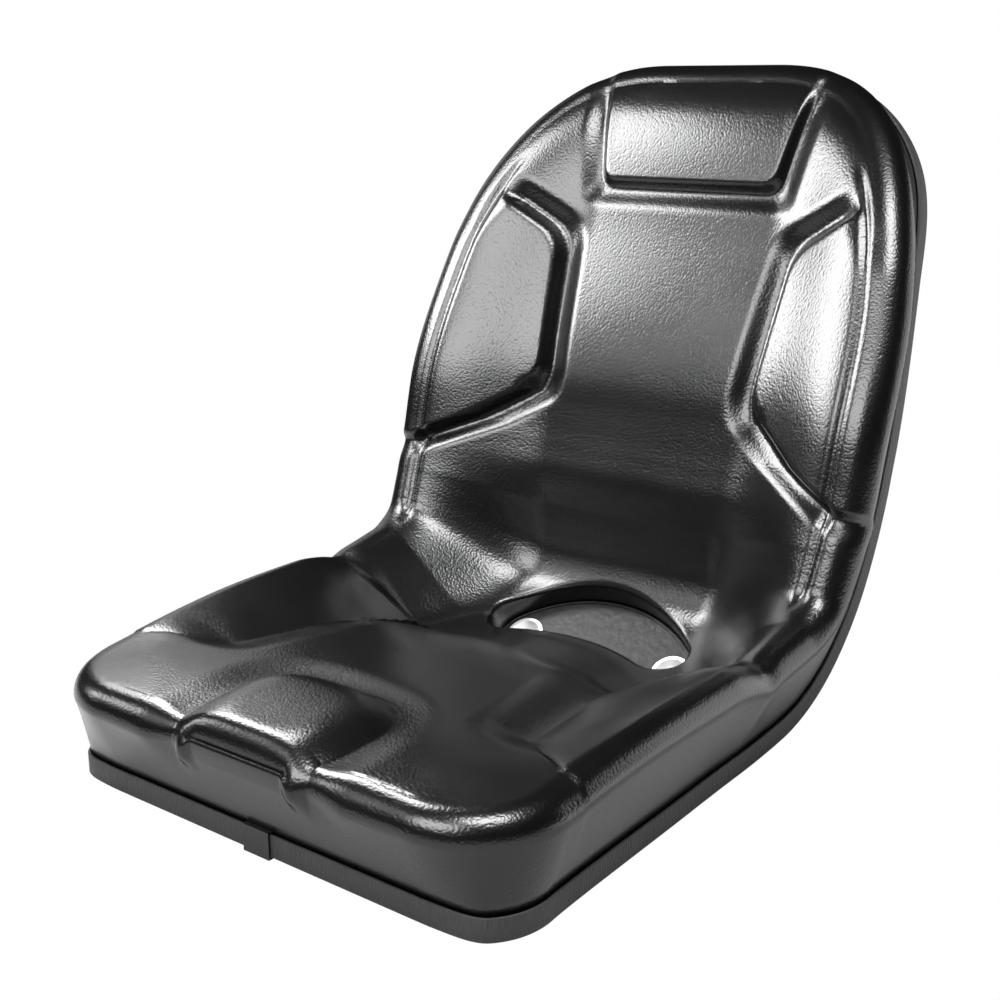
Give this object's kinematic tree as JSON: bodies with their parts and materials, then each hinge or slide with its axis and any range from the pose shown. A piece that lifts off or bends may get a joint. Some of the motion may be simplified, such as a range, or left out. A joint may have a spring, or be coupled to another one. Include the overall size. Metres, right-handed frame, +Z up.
{
  "type": "tractor seat",
  "caption": "High-back padded seat with side bolsters and a drain slot, on a pressed steel pan, for a ride-on garden machine.",
  "frame": {"origin": "middle of the four mounting points, on the underside of their pads", "axes": "+Z up, +Y towards the back rest, so the sitter faces -Y; +X to the sitter's left"},
  "size_m": [0.482, 0.6568, 0.5256],
  "materials": {
    "cushion": "grained black vinyl, semi-gloss",
    "pan": "black coated steel, mottled",
    "trim": "matt black extrusion",
    "clip": "smooth black",
    "bolt": "plated steel",
    "cup_washer": "turned bright steel",
    "fixings": "zinc plated"
  },
  "bodies": {
    "root": {"cushion": "cushion", "seat_pan": "pan", "edge_trim": "trim", "trim_clip": "clip", "bolt_left": "bolt", "bolt_right": "bolt", "cup_washer_left": "cup_washer", "cup_washer_right": "cup_washer", "flat_washer_left": "fixings", "flat_washer_right": "fixings", "lock_washer_left": "fixings", "lock_washer_right": "fixings", "nut_left": "fixings", "nut_right": "fixings", "weld_nut_front_left": "fixings", "weld_nut_front_right": "fixings", "weld_nut_rear_left": "fixings", "weld_nut_rear_right": "fixings"}
  },
  "joints": []
}
